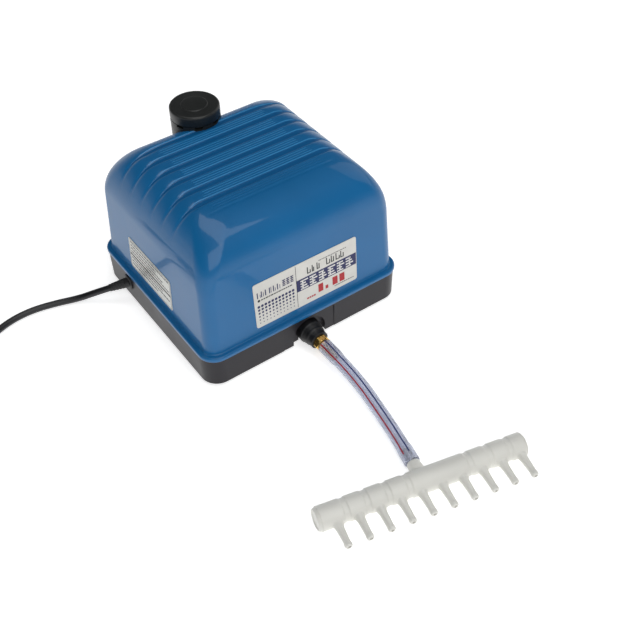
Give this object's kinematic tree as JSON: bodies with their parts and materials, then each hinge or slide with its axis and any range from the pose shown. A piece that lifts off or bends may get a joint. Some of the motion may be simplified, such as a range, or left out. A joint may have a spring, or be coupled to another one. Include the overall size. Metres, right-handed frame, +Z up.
{
  "type": "air pump",
  "caption": "Electromagnetic diaphragm air pump with a ribbed metal cover, filter cap, outlet hose, barbed air manifold and mains lead",
  "frame": {"origin": "on the surface that the pump stands on, under the centre of its base", "axes": "+Z up, -Y to the front where the air comes out towards the manifold, +X to the pump's right as seen from the front"},
  "size_m": [0.48, 0.5804, 0.1804],
  "materials": {
    "blue_paint": "glossy enamel on cast aluminium",
    "black_base": "satin moulded",
    "black_rubber": "matt",
    "cap_plastic": "satin",
    "label": "printed film, satin",
    "foam": "open-cell foam",
    "black_plastic": "moulded",
    "brass": "machined",
    "clear_hose": "clear, braided",
    "white_plastic": "moulded",
    "cord": "satin sheath",
    "steel": "zinc plated",
    "cast_aluminium": "as cast",
    "lamination": "stacked, varnished",
    "winding": "enamelled copper wire under tape",
    "white_nylon": "moulded",
    "magnet": "ferrite",
    "flap_rubber": "thin, smooth"
  },
  "bodies": {
    "casing": {"air_hose": "clear_hose", "air_tank": "cast_aluminium", "base_tray": "black_base", "brass_hose_tail": "brass", "chamber_bolts": "steel", "chamber_head_left": "black_plastic", "chamber_head_right": "black_plastic", "clamp_rings": "cast_aluminium", "coil_bobbins": "white_nylon", "coil_leads": "cord", "coil_winding_back": "winding", "coil_winding_front": "winding", "cord_clamp": "black_plastic", "cord_coil": "cord", "cord_gland": "black_rubber", "core_bolts": "steel", "cover_gasket": "black_rubber", "cover_screws": "steel", "diaphragm_left": "black_rubber", "diaphragm_right": "black_rubber", "filter_foam": "foam", "filter_grid": "black_plastic", "flap_clips": "steel", "frame_screws": "steel", "front_label": "label", "inner_lead": "cord", "intake_tower": "cap_plastic", "laminated_core_back": "lamination", "laminated_core_front": "lamination", "mains_cord": "cord", "mains_plug": "cord", "manifold_body": "white_plastic", "manifold_end_caps": "white_plastic", "mechanism_frame": "cast_aluminium", "outlet_elbow": "black_rubber", "plug_lead": "cord", "plug_pins": "brass", "pump_chamber_left": "white_nylon", "pump_chamber_right": "white_nylon", "rubber_feet": "black_rubber", "rubber_mounts": "black_rubber", "side_label": "label", "tank_gasket": "black_rubber", "tank_grommets": "black_rubber", "tank_lid": "cast_aluminium", "tank_lid_screws": "steel", "terminal_block": "white_nylon", "top_cover": "blue_paint", "valve_plate_left": "white_nylon", "valve_plate_right": "white_nylon"},
    "shuttle": {"shuttle_rod": "steel", "magnet_holder": "white_nylon", "shuttle_magnets": "magnet", "diaphragm_plates": "cast_aluminium", "shuttle_nuts": "steel"},
    "cap": {"filter_cap": "cap_plastic"},
    "suction_valve_right": {"suction_flap_right": "flap_rubber"},
    "suction_valve_left": {"suction_flap_left": "flap_rubber"},
    "delivery_valve_right": {"delivery_flap_right": "flap_rubber"},
    "delivery_valve_left": {"delivery_flap_left": "flap_rubber"}
  },
  "joints": [
    {"name": "shuttle_slide", "type": "slide", "parent": "casing", "child": "shuttle", "axis": [1, 0, 0], "range_m": [-0.0025, 0.0025], "stiffness_N_per_m": 6000, "deforming": ["diaphragm_right", "diaphragm_left"]},
    {"name": "filter_cap_lift", "type": "slide", "parent": "casing", "child": "cap", "axis": [0, 0, 1], "range_m": [0, 0.04]},
    {"name": "suction_flap_right_hinge", "type": "hinge", "parent": "casing", "child": "suction_valve_right", "pos_m": [0.082, -0.014, 0.122], "axis": [0, 1, 0], "range_deg": [0, 10], "stiffness_Nm_per_rad": 0.0004},
    {"name": "suction_flap_left_hinge", "type": "hinge", "parent": "casing", "child": "suction_valve_left", "pos_m": [-0.082, -0.014, 0.122], "axis": [0, -1, 0], "range_deg": [0, 10], "stiffness_Nm_per_rad": 0.0004},
    {"name": "delivery_flap_right_hinge", "type": "hinge", "parent": "casing", "child": "delivery_valve_right", "pos_m": [0.087, -0.014, 0.09], "axis": [0, -1, 0], "range_deg": [0, 10], "stiffness_Nm_per_rad": 0.0004},
    {"name": "delivery_flap_left_hinge", "type": "hinge", "parent": "casing", "child": "delivery_valve_left", "pos_m": [-0.087, -0.014, 0.09], "axis": [0, 1, 0], "range_deg": [0, 10], "stiffness_Nm_per_rad": 0.0004}
  ]
}
